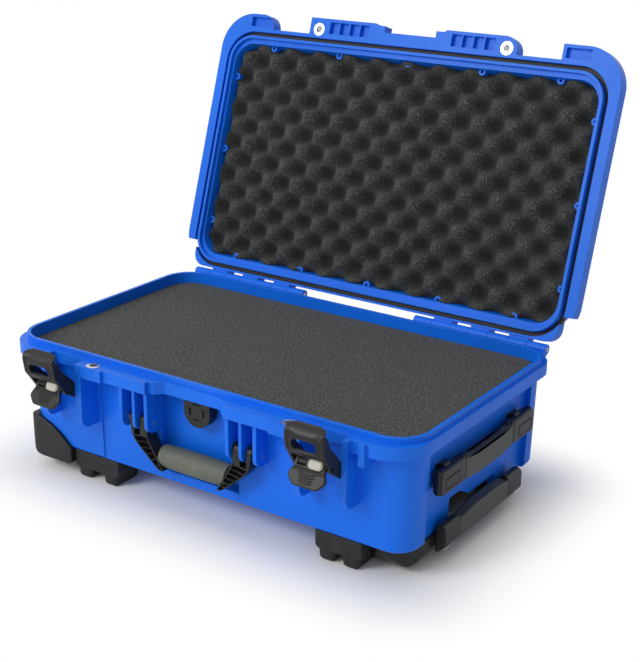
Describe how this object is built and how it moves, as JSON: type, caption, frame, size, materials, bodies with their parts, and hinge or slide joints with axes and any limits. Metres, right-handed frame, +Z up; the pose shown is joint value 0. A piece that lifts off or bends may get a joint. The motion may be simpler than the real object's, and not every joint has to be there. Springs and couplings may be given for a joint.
{
  "type": "wheeled hard case",
  "caption": "Moulded protective case on two wheels with foam lining, hinged lid, claw latches, carry handles and a telescopic pull handle.",
  "frame": {"origin": "on the floor under the middle of the base", "axes": "X along the case from the wheels to the pull handle, Y from the latches to the hinge, Z up"},
  "size_m": [0.5596, 0.5345, 0.4883],
  "materials": {
    "case_blue": "satin moulded resin",
    "hardware_black": "fine matt texture",
    "latch_black": "fine matt texture",
    "lock_grey": "satin",
    "soft_grip": "soft matt rubber",
    "side_grip": "soft matt rubber",
    "seal_rubber": "matt rubber",
    "foot_rubber": "matt rubber",
    "foam": "open-cell foam",
    "lid_foam": "convoluted open-cell foam",
    "bright_steel": "bright",
    "pin_steel": "ground",
    "tube_metal": "anodised",
    "tyre": "matt",
    "hub": "satin"
  },
  "bodies": {
    "base": {"base_shell": "case_blue", "base_foam_block": "foam", "base_foam_pad": "foam", "valve_body": "hardware_black", "valve_membrane": "seal_rubber", "valve_seal": "seal_rubber", "base_eyelets": "bright_steel", "front_handle_pins": "pin_steel", "side_handle_brackets": "hardware_black", "side_handle_pins": "pin_steel", "pull_tray": "hardware_black", "foot_screws": "bright_steel", "hinge_pin_left": "pin_steel", "latch_pin_left": "pin_steel", "hinge_pin_right": "pin_steel", "latch_pin_right": "pin_steel", "rail_front": "tube_metal", "axle_front": "pin_steel", "wheel_housing_front": "hardware_black", "corner_guard_front": "hardware_black", "foot_front_left": "foot_rubber", "foot_front_right": "foot_rubber", "rail_rear": "tube_metal", "axle_rear": "pin_steel", "wheel_housing_rear": "hardware_black", "corner_guard_rear": "hardware_black", "foot_rear_left": "foot_rubber", "foot_rear_right": "foot_rubber"},
    "lid": {"lid_shell": "case_blue", "lid_gasket": "seal_rubber", "lid_foam": "lid_foam", "lid_eyelets": "bright_steel"},
    "front_handle": {"front_handle_frame": "hardware_black", "front_handle_grip": "soft_grip"},
    "side_handle": {"side_handle_frame": "hardware_black", "side_handle_grip": "side_grip", "side_handle_caps": "hardware_black"},
    "pull_middle": {"mid_tube_front": "tube_metal", "mid_tube_rear": "tube_metal"},
    "pull_handle": {"inner_tube_front": "tube_metal", "inner_tube_rear": "tube_metal", "pull_grip": "side_grip", "pull_block_front": "hardware_black", "pull_block_rear": "hardware_black"},
    "pull_release": {"pull_trigger": "hardware_black"},
    "claw_left": {"latch_claw_left": "latch_black", "lever_pin_left": "pin_steel"},
    "lever_left": {"latch_lever_left": "latch_black"},
    "lock_left": {"latch_lock_left": "lock_grey"},
    "claw_right": {"latch_claw_right": "latch_black", "lever_pin_right": "pin_steel"},
    "lever_right": {"latch_lever_right": "latch_black"},
    "lock_right": {"latch_lock_right": "lock_grey"},
    "wheel_front": {"wheel_tyre_front": "tyre", "wheel_hub_front": "hub", "wheel_bearings_front": "pin_steel"},
    "wheel_rear": {"wheel_tyre_rear": "tyre", "wheel_hub_rear": "hub", "wheel_bearings_rear": "pin_steel"}
  },
  "joints": [
    {"name": "lid_hinge", "type": "hinge", "parent": "base", "child": "lid", "pos_m": [0, 0.1663, 0.158], "axis": [1, 0, 0], "range_deg": [0, 108]},
    {"name": "front_handle_hinge", "type": "hinge", "parent": "base", "child": "front_handle", "pos_m": [0, -0.158, 0.104], "axis": [-1, 0, 0], "range_deg": [0, 95]},
    {"name": "side_handle_hinge", "type": "hinge", "parent": "base", "child": "side_handle", "pos_m": [0.2615, 0, 0.109], "axis": [0, -1, 0], "range_deg": [0, 50]},
    {"name": "pull_stage_1", "type": "slide", "parent": "base", "child": "pull_middle", "axis": [1, 0, 0], "range_m": [0, 0.33]},
    {"name": "pull_stage_2", "type": "slide", "parent": "pull_middle", "child": "pull_handle", "axis": [1, 0, 0], "range_m": [0, 0.33]},
    {"name": "pull_release_press", "type": "slide", "parent": "pull_handle", "child": "pull_release", "axis": [1, 0, 0], "range_m": [0, 0.004], "stiffness_N_per_m": 400},
    {"name": "claw_hinge_left", "type": "hinge", "parent": "base", "child": "claw_left", "pos_m": [-0.17525, -0.168, 0.117], "axis": [-1, 0, 0], "range_deg": [0, 39]},
    {"name": "lever_hinge_left", "type": "hinge", "parent": "claw_left", "child": "lever_left", "pos_m": [-0.17525, -0.18884, 0.12843], "axis": [1, 0, 0], "range_deg": [0, 50]},
    {"name": "lock_slide_left", "type": "slide", "parent": "lever_left", "child": "lock_left", "axis": [-1, 0, 0], "range_m": [0, 0.006]},
    {"name": "claw_hinge_right", "type": "hinge", "parent": "base", "child": "claw_right", "pos_m": [0.17525, -0.168, 0.117], "axis": [-1, 0, 0], "range_deg": [0, 35]},
    {"name": "lever_hinge_right", "type": "hinge", "parent": "claw_right", "child": "lever_right", "pos_m": [0.17525, -0.18799, 0.12986], "axis": [1, 0, 0], "range_deg": [0, 50]},
    {"name": "lock_slide_right", "type": "slide", "parent": "lever_right", "child": "lock_right", "axis": [-1, 0, 0], "range_m": [0, 0.006]},
    {"name": "wheel_spin_front", "type": "hinge", "parent": "base", "child": "wheel_front", "pos_m": [-0.234, -0.128, 0.033], "axis": [0, 1, 0], "continuous": true},
    {"name": "wheel_spin_rear", "type": "hinge", "parent": "base", "child": "wheel_rear", "pos_m": [-0.234, 0.128, 0.033], "axis": [0, 1, 0], "continuous": true}
  ],
  "couplings": [
    {"joint": "pull_stage_2", "follows": "pull_stage_1", "ratio": 1}
  ]
}
